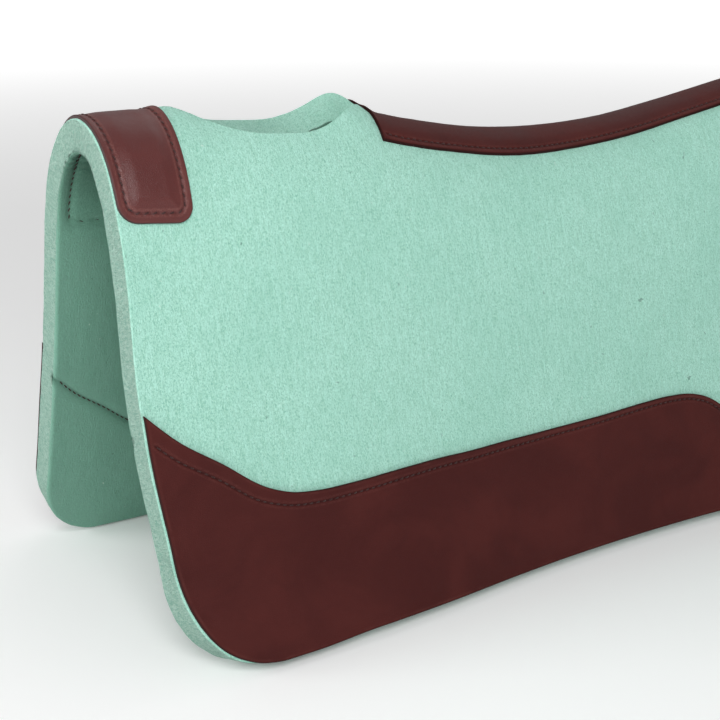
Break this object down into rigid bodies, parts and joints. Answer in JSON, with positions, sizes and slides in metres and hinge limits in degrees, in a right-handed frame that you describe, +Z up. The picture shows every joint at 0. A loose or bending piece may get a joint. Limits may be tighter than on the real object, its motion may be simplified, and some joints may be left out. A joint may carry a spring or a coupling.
{
  "type": "saddle pad",
  "caption": "Contoured felt saddle pad that arches over a horse's back, with a wither notch, leather wither patch, spine strip and wear leathers.",
  "frame": {"origin": "on the ground plane under the middle of the pad", "axes": "+Z up, -Y towards the withers, which is the front, +X towards the horse's left flap"},
  "size_m": [0.3178, 0.812, 0.3744],
  "materials": {
    "felt": "matte",
    "leather": "satin",
    "thread": "matte"
  },
  "bodies": {
    "left_side": {"left_felt_panel": "felt", "spine_seam_stitching": "thread", "wither_patch": "leather", "wither_patch_stitching": "thread", "spine_strip": "leather", "strip_left_stitching": "thread", "left_wear_leather": "leather", "left_wear_stitching": "thread"},
    "right_side": {"right_felt_panel": "felt", "strip_right_stitching": "thread", "right_wear_leather": "leather", "right_wear_stitching": "thread"}
  },
  "joints": [
    {"name": "spine_fold", "type": "hinge", "parent": "left_side", "child": "right_side", "pos_m": [0, 0, 0.354], "axis": [0, 1, 0], "range_deg": [0, 60], "stiffness_Nm_per_rad": 30, "deforming": ["wither_patch", "wither_patch_stitching", "spine_strip", "spine_seam_stitching", "left_felt_panel", "right_felt_panel"]}
  ]
}
